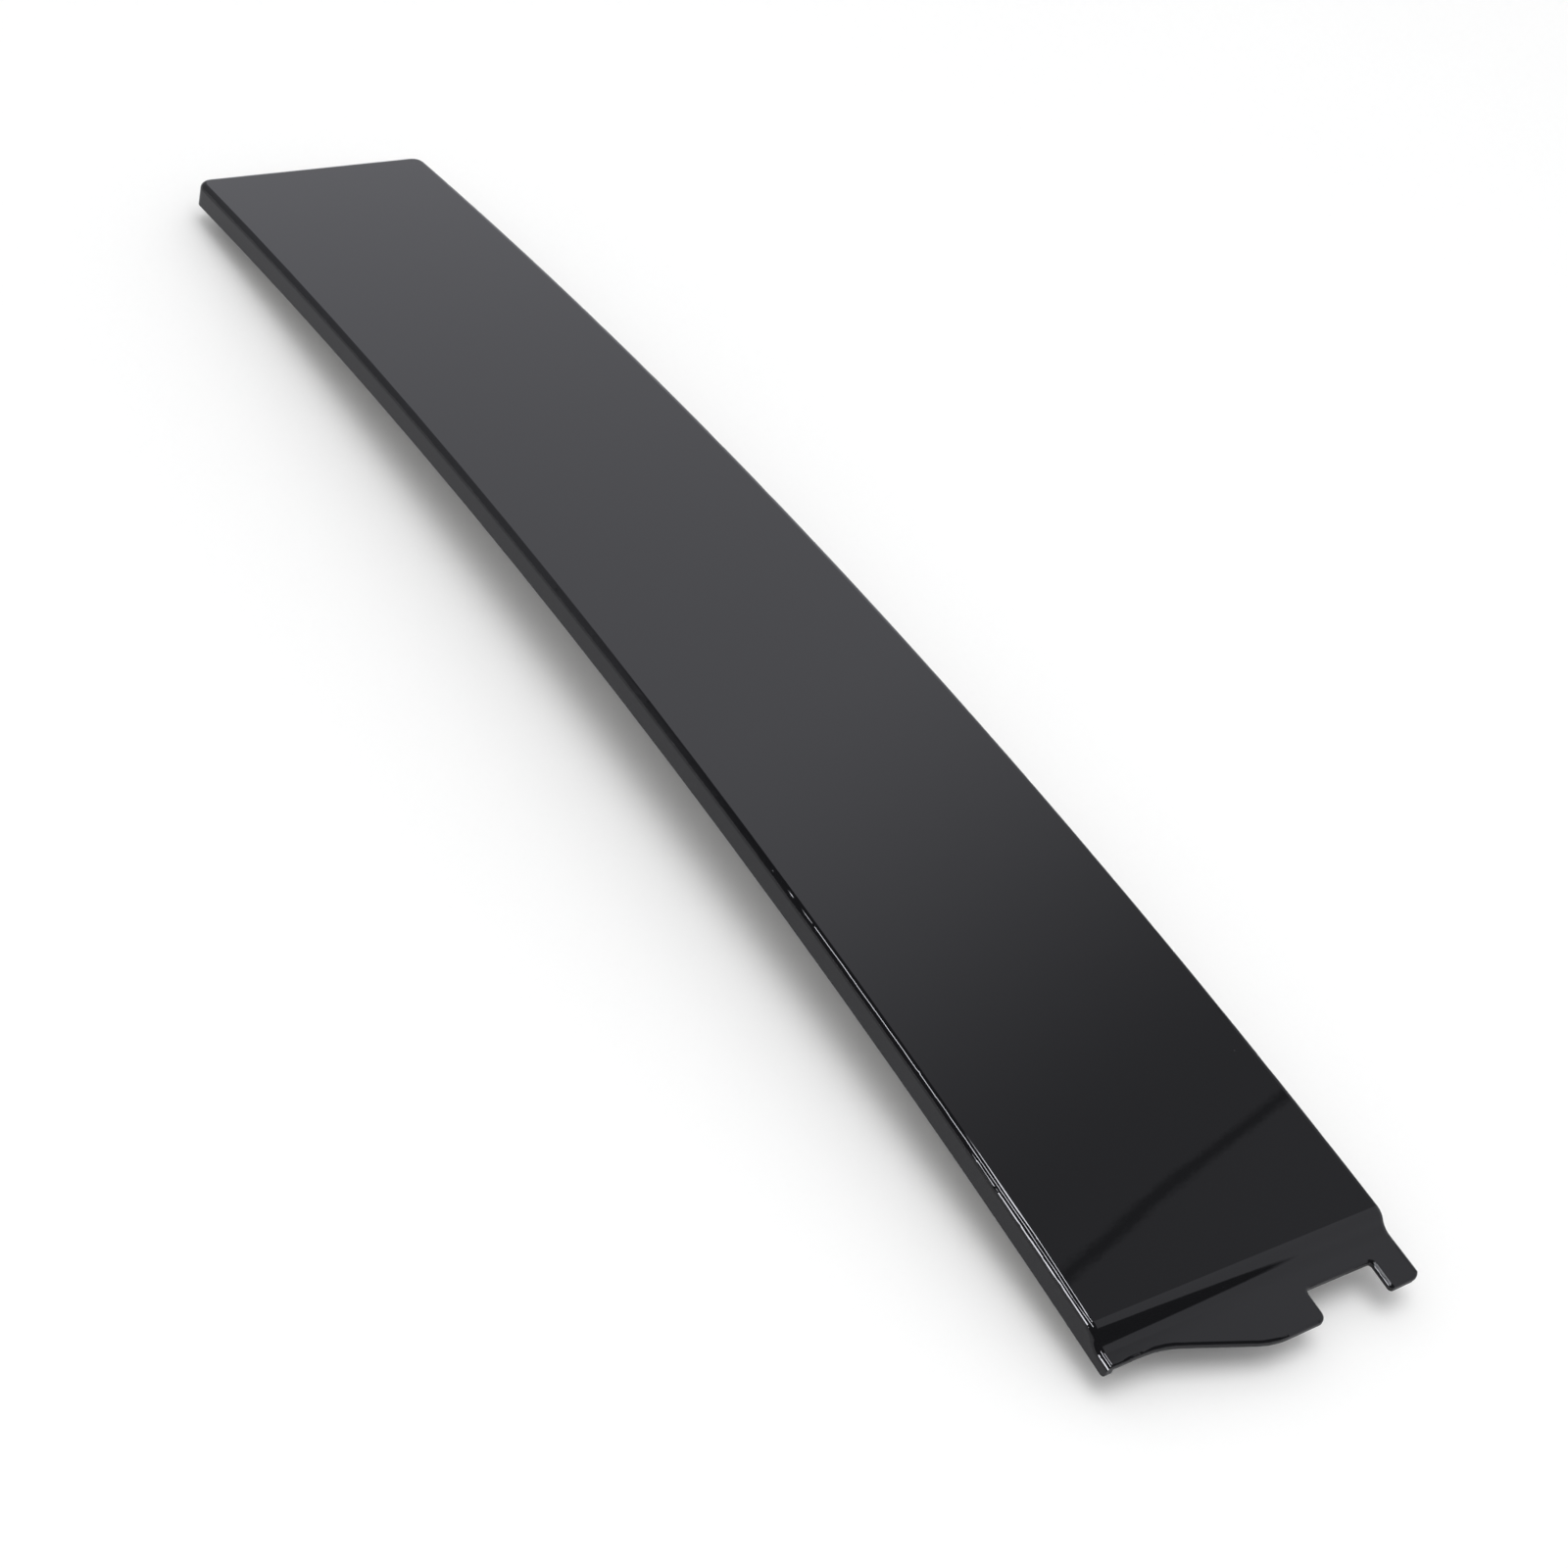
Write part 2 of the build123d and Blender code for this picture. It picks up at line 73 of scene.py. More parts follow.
class TrimSizes(bpy.types.PropertyGroup):
    """Sizes of the cover that its soft pieces follow."""

    bow_radius: FloatProperty(
        name="Bow Radius", description="Radius of the face's bow", default=1.960, unit="LENGTH"
    )
    bow_lean: FloatProperty(
        name="Bow Lean",
        description="Angle of the bow's axis off square to the cover",
        default=math.radians(1.6),
        subtype="ANGLE",
    )
    step_place: FloatProperty(
        name="Step Place",
        description="Place along the cover that the lean turns about",
        default=-0.2321,
        unit="LENGTH",
    )
    crown_place: FloatProperty(
        name="Crown Place",
        description="Place along the cover of the bow's crown",
        default=0.00029,
        unit="LENGTH",
    )
    skin: FloatProperty(
        name="Skin", description="Thickness of the cover's skin", default=0.0024, unit="LENGTH"
    )
    step_drop: FloatProperty(
        name="Step Drop", description="From the face down to the tongue", default=0.0032, unit="LENGTH"
    )
    bond_gap: FloatProperty(
        name="Bond Gap", description="Gap between pieces stuck together", default=0.00003, unit="LENGTH"
    )
    tape_thickness: FloatProperty(
        name="Tape Thickness", description="Thickness of the foam tape", default=0.0012, unit="LENGTH"
    )
    tape_round: FloatProperty(
        name="Tape Rounding", description="Radius of a tape's edge", default=0.0002, unit="LENGTH"
    )
    liner_thickness: FloatProperty(
        name="Liner Thickness", description="Thickness of a liner", default=0.00025, unit="LENGTH"
    )
    liner_round: FloatProperty(
        name="Liner Rounding", description="Radius of a liner's edge", default=0.00008, unit="LENGTH"
    )
    pad_round: FloatProperty(
        name="Pad Rounding", description="Radius of a foam pad's edge", default=0.0009, unit="LENGTH"
    )
    seal_bore: FloatProperty(
        name="Seal Bore", description="Radius of a clip seal's bore", default=0.0042, unit="LENGTH"
    )
    seal_round: FloatProperty(
        name="Seal Rounding", description="Radius of a clip seal's edge", default=0.00072, unit="LENGTH"
    )


class TrimColours(bpy.types.PropertyGroup):
    """Colours of the finishes."""

    gloss: FloatVectorProperty(
        name="Gloss Black",
        description="Colour of the moulded cover",
        default=(0.0055, 0.0056, 0.0064),
        subtype="COLOR",
    )
    cover_back: FloatVectorProperty(
        name="Cover Back",
        description="Colour of the cover's matt back",
        default=(0.013, 0.013, 0.0135),
        subtype="COLOR",
    )
    dust: FloatVectorProperty(
        name="Dust", description="Colour of dust on the gloss", default=(0.5, 0.5, 0.5), subtype="COLOR"
    )
    nylon: FloatVectorProperty(
        name="Nylon", description="Colour of the push clips", default=(0.78, 0.74, 0.64), subtype="COLOR"
    )
    nylon_marks: FloatVectorProperty(
        name="Nylon Marks",
        description="Colour of handling marks on the clips",
        default=(0.55, 0.5, 0.42),
        subtype="COLOR",
    )
    seal: FloatVectorProperty(
        name="Seal Foam",
        description="Colour of the clip seals",
        default=(0.03, 0.03, 0.033),
        subtype="COLOR",
    )
    tape: FloatVectorProperty(
        name="Tape Foam",
        description="Colour of the foam tape",
        default=(0.07, 0.07, 0.075),
        subtype="COLOR",
    )
    liner: FloatVectorProperty(
        name="Liner",
        description="Colour of the release liners",
        default=(0.66, 0.64, 0.58),
        subtype="COLOR",
    )
    pad: FloatVectorProperty(
        name="Pad Foam",
        description="Colour of the foam pads",
        default=(0.045, 0.045, 0.048),
        subtype="COLOR",
    )


class TrimStudio(bpy.types.PropertyGroup):
    """The camera and the light."""

    lens: FloatProperty(name="Lens", description="Focal length", default=78.98, unit="CAMERA")
    sensor_width: FloatProperty(
        name="Sensor Width", description="Width of the camera's sensor", default=36.0, unit="CAMERA"
    )
    camera_place: FloatVectorProperty(
        name="Camera Place",
        description="Where the camera stands",
        default=(-0.52993, 0.50104, 0.64071),
        subtype="TRANSLATION",
        unit="LENGTH",
    )
    camera_turn: FloatVectorProperty(
        name="Camera Turn",
        description="How the camera is turned",
        default=tuple(math.radians(a) for a in (46.53412, -12.23864, -124.04453)),
        subtype="EULER",
    )
    camera_shift: FloatVectorProperty(
        name="Camera Shift", description="Sideways and upward shift", default=(-0.00335, -0.00129), size=2
    )
    room_light: FloatProperty(
        name="Room Light", description="Brightness of the room all round", default=0.8
    )
    backdrop_light: FloatProperty(
        name="Backdrop Light",
        description="Brightness of the backdrop that the face mirrors",
        default=1.10,
    )
    mirror_tint: FloatVectorProperty(
        name="Mirror Tint",
        description="Tint of what gloss mirrors",
        default=(0.98, 0.985, 1.06),
        subtype="COLOR",
        max=2.0,
    )
    strip_light: FloatProperty(
        name="Strip Light",
        description="Brightness of the narrow lights that the edges mirror",
        default=18.0,
    )
    key_power: FloatProperty(
        name="Key Power", description="Power of the soft light overhead", default=26.0, unit="POWER"
    )
    key_span: FloatProperty(
        name="Key Span", description="Width of the soft light overhead", default=1.8, unit="LENGTH"
    )
    key_place: FloatVectorProperty(
        name="Key Place",
        description="Where the soft light hangs",
        default=(-0.3, 0.2, 2.6),
        subtype="TRANSLATION",
        unit="LENGTH",
    )
    floor_span: FloatProperty(
        name="Floor Span", description="Width of the floor", default=30.0, unit="LENGTH"
    )
    floor_gap: FloatProperty(
        name="Floor Gap", description="From the plate down to the floor", default=0.0002, unit="LENGTH"
    )


# ---------------------------------------------------------------- shapes

SAME_POINT = 2e-7  # points nearer to each other than this are one
END_REACH = 2e-5  # a strip's end is the corners this near its outermost one
RING_SPACING = 0.003  # from one ring of a tape or liner to the next


def corners(node):
    """The corners of a CAD node's mesh, one row of x, y and z each."""
    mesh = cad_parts[node].data
    points = np.empty(len(mesh.vertices) * 3)
    mesh.vertices.foreach_get("co", points)
    return points.reshape(-1, 3)


def mesh_object(name, points, faces, closed=True):
    """An object of these points and faces, at the origin. A closed one has its doubled points merged,
    its faces turned outward and its shading smooth."""
    mesh = bpy.data.meshes.new(name)
    mesh.from_pydata(points.tolist(), [], faces.tolist())
    if closed:
        shell = bmesh.new()
        shell.from_mesh(mesh)
        bmesh.ops.remove_doubles(shell, verts=shell.verts, dist=SAME_POINT)
        bmesh.ops.recalc_face_normals(shell, faces=shell.faces)
        shell.to_mesh(mesh)
        shell.free()
    mesh.polygons.foreach_set("use_smooth", np.full(len(mesh.polygons), closed))
    mesh.update()
    made = bpy.data.objects.new(name, mesh)
    bpy.context.scene.collection.objects.link(made)
    return made


def grid_faces(rows, columns, loop_rows=False):
    """Quads of a grid of points stored row by row; each row closes on itself."""
    last = rows if loop_rows else rows - 1
    r, c = np.meshgrid(np.arange(last), np.arange(columns), indexing="ij")
    nr, nc = (r + 1) % rows, (c + 1) % columns
    quads = np.stack([r * columns + c, r * columns + nc, nr * columns + nc, nr * columns + c], -1)
    return quads.reshape(-1, 4)


def bow_height(sizes, x, y, n):
    """Z over the floor of the bowed layer at height n over the face: a circle of the bow's radius
    plus n, across an axis that leans off square by the bow's lean."""
    turned = (x - sizes.step_place) * math.cos(sizes.bow_lean) - y * math.sin(sizes.bow_lean)
    u = turned + sizes.step_place - sizes.crown_place
    return np.sqrt((sizes.bow_radius + n) ** 2 - u**2) - sizes.bow_radius + FACE_TOP


def soft_rectangle(count, half_width, half_height, radius):
    """The across and the up of a soft-cornered rectangle's points, at even angles.

    The rectangle is shrunk by the radius, its corners softened by taking the angle's cosine and sine
    to a quarter power, and each point is pushed out by the radius along its angle's direction."""
    angle = (np.arange(count) + 0.5) / count * 2 * math.pi
    across, up = np.cos(angle), np.sin(angle)
    corner_power = 0.25
    box_across = np.sign(across) * np.abs(across) ** corner_power * (half_width - radius)
    box_up = np.sign(up) * np.abs(up) ** corner_power * (half_height - radius)
    return box_across + across * radius, box_up + up * radius


def laid_bar(name, sizes, ends, width, upper, lower, rounding, turn, along_count, ring_count):
    """A soft bar laid along the cover's back between two (x, y) ends.

    A soft-cornered rectangle of the bar's width, from height lower to height upper over the face, is
    carried along the line between the ends. Over the last stretch at each end it shrinks as a
    quarter circle of the edge's radius, and a last ring gathered to a point closes it. turn slants
    the two ends off square."""
    (x0, y0), (x1, y1) = ends
    length = math.hypot(x1 - x0, y1 - y0)
    direction = np.array([(x1 - x0) / length, (y1 - y0) / length])
    side = np.array([-direction[1], direction[0]])
    quarter = np.linspace(0, math.pi / 2, 7)
    middle = np.linspace(rounding, length - rounding, along_count)
    curve_in, curve_up = rounding * (1 - np.cos(quarter)), rounding * (1 - np.sin(quarter))
    place = np.concatenate([[0.0], curve_in, middle[1:-1], length - curve_in[::-1], [length]])
    inset = np.concatenate([[width], curve_up, np.zeros(along_count - 2), curve_up[::-1], [width]])
    half_width, half_height = width / 2, (upper - lower) / 2
    ring_across, ring_up = soft_rectangle(ring_count, half_width, half_height, rounding)
    across = np.clip(1 - inset / half_width, 0, 1)[:, None] * ring_across
    up = np.clip(1 - inset / half_height, 0, 1)[:, None] * ring_up
    run = place[:, None] + across * math.tan(turn)
    x = x0 + direction[0] * run + side[0] * across
    y = y0 + direction[1] * run + side[1] * across
    n = (upper + lower) / 2 + up
    z = bow_height(sizes, x, y, n)
    points = np.stack([x, y, z], -1).reshape(-1, 3)
    return mesh_object(name, points, grid_faces(len(place), ring_count)[:, ::-1])


def seal_ring(name, low, high, bore, rounding):
    """A foam ring between two opposite corners of its box: a soft-cornered rectangle from the bore to
    the outer radius, turned about the clip's axis."""
    around, ring_count = 96, 40
    centre, outer = (low + high) / 2, (high.x - low.x) / 2
    ring_across, ring_up = soft_rectangle(ring_count, (outer - bore) / 2, (high.z - low.z) / 2, rounding)
    angle = np.arange(around) / around * 2 * math.pi
    radius = (bore + outer) / 2 + ring_across
    x = centre.x + np.cos(angle)[:, None] * radius
    y = centre.y + np.sin(angle)[:, None] * radius
    z = np.broadcast_to(centre.z + ring_up, x.shape)
    points = np.stack([x, y, z], -1).reshape(-1, 3)
    return mesh_object(name, points, grid_faces(around, ring_count, loop_rows=True))


# ---------------------------------------------------------------- finishes


def new_group(name, inputs, outputs):
    """An empty shader node group with float or colour sockets."""
    group = bpy.data.node_groups.new(name, "ShaderNodeTree")
    for title, kind, default in inputs:
        socket = group.interface.new_socket(name=title, in_out="INPUT", socket_type=kind)
        if default is not None:
            socket.default_value = default
    for title, kind in outputs:
        group.interface.new_socket(name=title, in_out="OUTPUT", socket_type=kind)
    return group, group.nodes.new("NodeGroupInput"), group.nodes.new("NodeGroupOutput")


def feed(tree, target, value):
    """Links a socket to the target, or sets the target to a number or a colour."""
    if hasattr(value, "links"):
        tree.links.new(value, target)
    elif target.type == "RGBA":
        target.default_value = (*value, 1.0)
    else:
        target.default_value = value


def math_node(tree, operation, *values):
    """A Math node on one to three values or sockets; its result."""
    node = tree.nodes.new("ShaderNodeMath")
    node.operation = operation
    for target, value in zip(node.inputs, values):
        feed(tree, target, value)
    return node.outputs[0]


def noise(tree, vector, scale, detail=2.0, roughness=0.5):
    """A Noise Texture on a vector; its factor."""
    node = tree.nodes.new("ShaderNodeTexNoise")
    node.inputs["Scale"].default_value = scale
    node.inputs["Detail"].default_value = detail
    node.inputs["Roughness"].default_value = roughness
    tree.links.new(vector, node.inputs["Vector"])
    return node.outputs["Fac"]


def ramp(tree, value, low, high, out_low=0.0, out_high=1.0):
    """A clamped Map Range with smooth ends; its result."""
    node = tree.nodes.new("ShaderNodeMapRange")
    node.interpolation_type = "SMOOTHSTEP"
    tree.links.new(value, node.inputs["Value"])
    node.inputs["From Min"].default_value = low
    node.inputs["From Max"].default_value = high
    node.inputs["To Min"].default_value = out_low
    node.inputs["To Max"].default_value = out_high
    return node.outputs["Result"]


def mix_value(tree, factor, first, second):
    """A mix of two values or sockets; its result."""
    node = tree.nodes.new("ShaderNodeMix")
    for index, value in ((0, factor), (2, first), (3, second)):
        feed(tree, node.inputs[index], value)
    return node.outputs[0]


def mix_colour(tree, factor, first, second):
    """A colour mix of two colours or sockets; its result."""
    node = tree.nodes.new("ShaderNodeMix")
    node.data_type = "RGBA"
    for index, value in ((0, factor), (6, first), (7, second)):
        feed(tree, node.inputs[index], value)
    return node.outputs[2]


def moulded_ripple_group():
    """Heights of a moulding's skin: a long faint swell and a finer ripple."""
    group, into, out = new_group(
        "moulded_ripple",
        [
            ("Vector", "NodeSocketVector", None),
            ("Swell", "NodeSocketFloat", 0.6),
            ("Ripple", "NodeSocketFloat", 0.4),
        ],
        [("Height", "NodeSocketFloat")],
    )
    swell = noise(group, into.outputs["Vector"], 45.0, 1.0)
    swell = math_node(group, "MULTIPLY", swell, into.outputs["Swell"])
    ripple = noise(group, into.outputs["Vector"], 420.0, 1.0)
    height = math_node(group, "MULTIPLY_ADD", ripple, into.outputs["Ripple"], swell)
    group.links.new(height, out.inputs["Height"])
    return group


def handling_marks_group():
    """The marks of a handled surface: a mask of faint wipes and one of dust specks."""
    group, into, out = new_group(
        "handling_marks",
        [("Vector", "NodeSocketVector", None), ("Amount", "NodeSocketFloat", 0.5)],
        [("Mask", "NodeSocketFloat"), ("Specks", "NodeSocketFloat")],
    )
    stretch = group.nodes.new("ShaderNodeMapping")
    stretch.inputs["Scale"].default_value = (6.0, 60.0, 60.0)
    stretch.inputs["Rotation"].default_value = (0.0, 0.0, 0.35)
    group.links.new(into.outputs["Vector"], stretch.inputs["Vector"])
    wipes = ramp(group, noise(group, stretch.outputs["Vector"], 4.0, 5.0, 0.7), 0.52, 0.78)
    haze = ramp(group, noise(group, into.outputs["Vector"], 14.0, 4.0), 0.45, 0.75)
    both = math_node(group, "MULTIPLY", wipes, haze)
    group.links.new(math_node(group, "MULTIPLY", both, into.outputs["Amount"]), out.inputs["Mask"])
    cells = group.nodes.new("ShaderNodeTexVoronoi")
    cells.inputs["Scale"].default_value = 95.0
    group.links.new(into.outputs["Vector"], cells.inputs["Vector"])
    speck = ramp(group, cells.outputs["Distance"], 0.012, 0.03, 1.0, 0.0)
    rare = ramp(group, noise(group, into.outputs["Vector"], 60.0, 0.0), 0.62, 0.66)
    group.links.new(math_node(group, "MULTIPLY", speck, rare), out.inputs["Specks"])
    return group


def foam_cells_group():
    """Heights and shade of cut foam: cells, of which Cells lie along a metre, with a finer grain. Shade is
    painted shade, darker in each cell's pit where the height is lowest, mixed with a random cloud of tone.
    """
    group, into, out = new_group(
        "foam_cells",
        [("Vector", "NodeSocketVector", None), ("Cells", "NodeSocketFloat", 2200.0)],
        [("Height", "NodeSocketFloat"), ("Shade", "NodeSocketFloat")],
    )
    cells = group.nodes.new("ShaderNodeTexVoronoi")
    group.links.new(into.outputs["Vector"], cells.inputs["Vector"])
    group.links.new(into.outputs["Cells"], cells.inputs["Scale"])
    pits = ramp(group, cells.outputs["Distance"], 0.1, 0.55)
    grain = noise(group, into.outputs["Vector"], 3200.0, 3.0)
    height = math_node(group, "MULTIPLY_ADD", grain, 0.35, pits)
    group.links.new(height, out.inputs["Height"])
    # Painted shade: the pits, lowest in Height, come out darker in Shade, and the cloud adds random tone.
    cloud = noise(group, into.outputs["Vector"], 160.0, 4.0)
    group.links.new(math_node(group, "MULTIPLY_ADD", pits, 0.6, cloud), out.inputs["Shade"])
    return group


def inner_side_group():
    """A mask of a moulded cover's unseen side: faces that look down, and walls that face inwards."""
    group, into, out = new_group(
        "inner_side",
        [("Vector", "NodeSocketVector", None)],
        [("Mask", "NodeSocketFloat")],
    )
    place = group.nodes.new("ShaderNodeSeparateXYZ")
    group.links.new(into.outputs["Vector"], place.inputs[0])
    geometry = group.nodes.new("ShaderNodeNewGeometry")
    facing = group.nodes.new("ShaderNodeSeparateXYZ")
    group.links.new(geometry.outputs["Normal"], facing.inputs[0])
    down = ramp(group, facing.outputs["Z"], -0.45, -0.25, 1.0, 0.0)
    inward = math_node(group, "MULTIPLY", place.outputs["Y"], facing.outputs["Y"])
    inward = ramp(group, inward, -0.012, -0.006, 1.0, 0.0)
    below = ramp(group, facing.outputs["Z"], 0.2, 0.35, 1.0, 0.0)
    inward = math_node(group, "MULTIPLY", inward, below)
    group.links.new(math_node(group, "MAXIMUM", down, inward), out.inputs["Mask"])
    return group


GROUP_MAKERS = {
    "moulded_ripple": moulded_ripple_group,
    "handling_marks": handling_marks_group,
    "foam_cells": foam_cells_group,
    "inner_side": inner_side_group,
}


def shared_group(name):
    """A shared effect's node group, built on first use."""
    return bpy.data.node_groups.get(name) or GROUP_MAKERS[name]()


class Finish:
    """A material under construction: its tree, its Principled shader and its Object coordinates."""

    def __init__(self, name):
        self.material = bpy.data.materials.new(name)
        self.material.use_nodes = True
        self.tree = self.material.node_tree
        self.shader = self.tree.nodes["Principled BSDF"]
        coordinates = self.tree.nodes.new("ShaderNodeTexCoord")
        self.vector = coordinates.outputs["Object"]

    def put(self, socket, value):
        """Sets a shader socket to a constant, or links it."""
        feed(self.tree, self.shader.inputs[socket], value)

    def group(self, name, **values):
        """A shared effect on this piece's coordinates."""
        node = self.tree.nodes.new("ShaderNodeGroup")
        node.node_tree = shared_group(name)
        self.tree.links.new(self.vector, node.inputs["Vector"])
        for title, value in values.items():
            node.inputs[title].default_value = value
        return node.outputs

    def bump(self, height, strength, distance):
        """Height into the shader's Normal."""
        node = self.tree.nodes.new("ShaderNodeBump")
        node.inputs["Strength"].default_value = strength
        node.inputs["Distance"].default_value = distance
        self.tree.links.new(height, node.inputs["Height"])
        self.put("Normal", node.outputs["Normal"])


def gloss_black(colours):
    """High-gloss moulded black outside, fine matt tool texture on the back."""
    finish = Finish("gloss_black_moulding")
    tree = finish.tree
    marks = finish.group("handling_marks", Amount=0.6)
    inner = finish.group("inner_side")["Mask"]
    ripple = finish.group("moulded_ripple", Swell=0.5, Ripple=0.06)["Height"]
    texture = noise(tree, finish.vector, 2600.0, 3.0)
    polish = math_node(tree, "MULTIPLY_ADD", marks["Mask"], 0.05, 0.018)
    polish = math_node(tree, "MULTIPLY_ADD", marks["Specks"], 0.25, polish)
    matt = math_node(tree, "MULTIPLY_ADD", texture, 0.15, 0.36)
    finish.put("Roughness", mix_value(tree, inner, polish, matt))
    dusty = math_node(tree, "MULTIPLY", marks["Specks"], 0.05)
    dusty = mix_colour(tree, dusty, colours.gloss, colours.dust)
    finish.put("Base Color", mix_colour(tree, inner, dusty, colours.cover_back))
    tool = math_node(tree, "MULTIPLY", math_node(tree, "MULTIPLY", texture, inner), 1.2)
    finish.bump(math_node(tree, "ADD", ripple, tool), 0.35, 0.00006)
    finish.put("IOR", 1.5)
    return finish.material


def clip_nylon(colours):
    """Natural nylon: satin, a little light passing through."""
    finish = Finish("clip_nylon_satin")
    tree = finish.tree
    cloud = noise(tree, finish.vector, 260.0, 4.0)
    marks = finish.group("handling_marks", Amount=1.0)
    deep = [c * 0.86 for c in colours.nylon]
    warm = mix_colour(tree, ramp(tree, cloud, 0.3, 0.7), colours.nylon, deep)
    finish.put("Base Color", mix_colour(tree, marks["Mask"], warm, colours.nylon_marks))
    finish.put("Roughness", math_node(tree, "MULTIPLY_ADD", cloud, 0.18, 0.34))
    finish.put("Subsurface Weight", 0.35)
    finish.put("Subsurface Radius", (1.0, 0.8, 0.5))
    finish.put("Subsurface Scale", 0.0015)
    finish.bump(finish.group("moulded_ripple", Swell=0.3, Ripple=0.7)["Height"], 0.4, 0.00008)
    return finish.material


def cut_foam(name, colour, cells):
    """Cut foam with open cells, of which so many lie along a metre; its colour is darkened in the cells'
    pits as painted shade.
    """
    finish = Finish(name)
    tree = finish.tree
    out = finish.group("foam_cells", Cells=cells)
    deep, pale = [c * 0.6 for c in colour], [c * 1.9 + 0.01 for c in colour]
    # Painted shade: the deep colour goes into the cells' pits and the pale one onto their rims, with a
    # random cloud of tone.
    finish.put("Base Color", mix_colour(tree, ramp(tree, out["Shade"], 0.35, 1.2), deep, pale))
    finish.put("Roughness", math_node(tree, "MULTIPLY_ADD", out["Shade"], 0.08, 0.87))
    finish.put("Sheen Weight", 0.15)
    finish.put("Sheen Roughness", 0.6)
    finish.bump(out["Height"], 0.7, 0.00018)
    return finish.material


def liner_film(colours):
    """Silicone-coated film: a slight sheen, faint ribbing across and a few handling marks."""
    finish = Finish("liner_pale_film")
    tree = finish.tree
    place = tree.nodes.new("ShaderNodeSeparateXYZ")
    tree.links.new(finish.vector, place.inputs[0])
    rib_pitch = 0.0032
    ribs = math_node(tree, "MULTIPLY", place.outputs["X"], 2 * math.pi / rib_pitch)
    ribs = math_node(tree, "MULTIPLY_ADD", math_node(tree, "SINE", ribs), 0.5, 0.5)
    marks = finish.group("handling_marks", Amount=1.0)
    cloud = noise(tree, finish.vector, 90.0, 3.0)
    deep = [c * 0.8 for c in colours.liner]
    finish.put("Base Color", mix_colour(tree, ramp(tree, cloud, 0.35, 0.65), colours.liner, deep))
    finish.put("Roughness", math_node(tree, "MULTIPLY_ADD", marks["Mask"], 0.25, 0.24))
    wrinkle = noise(tree, finish.vector, 180.0, 2.0)
    finish.bump(math_node(tree, "MULTIPLY_ADD", ribs, 0.25, wrinkle), 0.35, 0.0002)
    finish.put("Coat Weight", 0.25)
    finish.put("Coat Roughness", 0.12)
    return finish.material


def dress(piece, material):
    """Gives a new piece its material."""
    piece.data.materials.append(material)


def stand_in(piece, material, node, body):
    """Puts a finished piece in a CAD node's place, on a body."""
    dress(piece, material)
    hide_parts(node)
    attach(piece, body)


# ---------------------------------------------------------------- operators

# From the lowest point of each pad's CAD solid up to the underside of the pad's middle: the bow
# takes one end of the pad lower.
PAD_RISES = {"lower_foam_block": 0.0006, "upper_foam_block": 0.0006, "tongue_foam": 0.0004}
# The narrow lights that the rolled edges mirror, as ranges of a direction's x, y and z.
STRIP_SPANS = (
    ((-0.20, 0.43), (0.34, 0.46), (0.70, 1.10)),
    ((0.02, 0.26), (-0.20, -0.10), (0.70, 1.10)),
    ((0.18, 0.34), (0.60, 1.10), (0.08, 0.40)),
)
STRIP_EDGE = 0.01


class TRIM_OT_cover(bpy.types.Operator):
    """Finishes the moulded cover"""

    bl_idname = "trim.cover"
    bl_label = "Finish Cover"

    def execute(self, context):
        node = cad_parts["cover_panel"]
        node.material_slots[0].material = gloss_black(context.scene.trim_colours)
        return {"FINISHED"}


class TRIM_OT_clips(bpy.types.Operator):
    """Finishes the push clips"""

    bl_idname = "trim.clips"
    bl_label = "Finish Push Clips"

    def execute(self, context):
        nylon = clip_nylon(context.scene.trim_colours)
        for name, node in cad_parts.items():
            if name.startswith("push_clip"):
                node.material_slots[0].material = nylon
        return {"FINISHED"}


class TRIM_OT_seals(bpy.types.Operator):
    """Makes the foam ring under each clip"""

    bl_idname = "trim.seals"
    bl_label = "Make Clip Seals"

    def execute(self, context):
        sizes = context.scene.trim_sizes
        material = cut_foam("seal_foam_black", context.scene.trim_colours.seal, 2600.0)
        for name in sorted(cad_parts):
            if name.startswith("clip_seal"):
                number = name[-1]
                ring = seal_ring(f"foam_ring_{number}", *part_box(name), sizes.seal_bore, sizes.seal_round)
                stand_in(ring, material, name, f"clip_{number}")
        return {"FINISHED"}


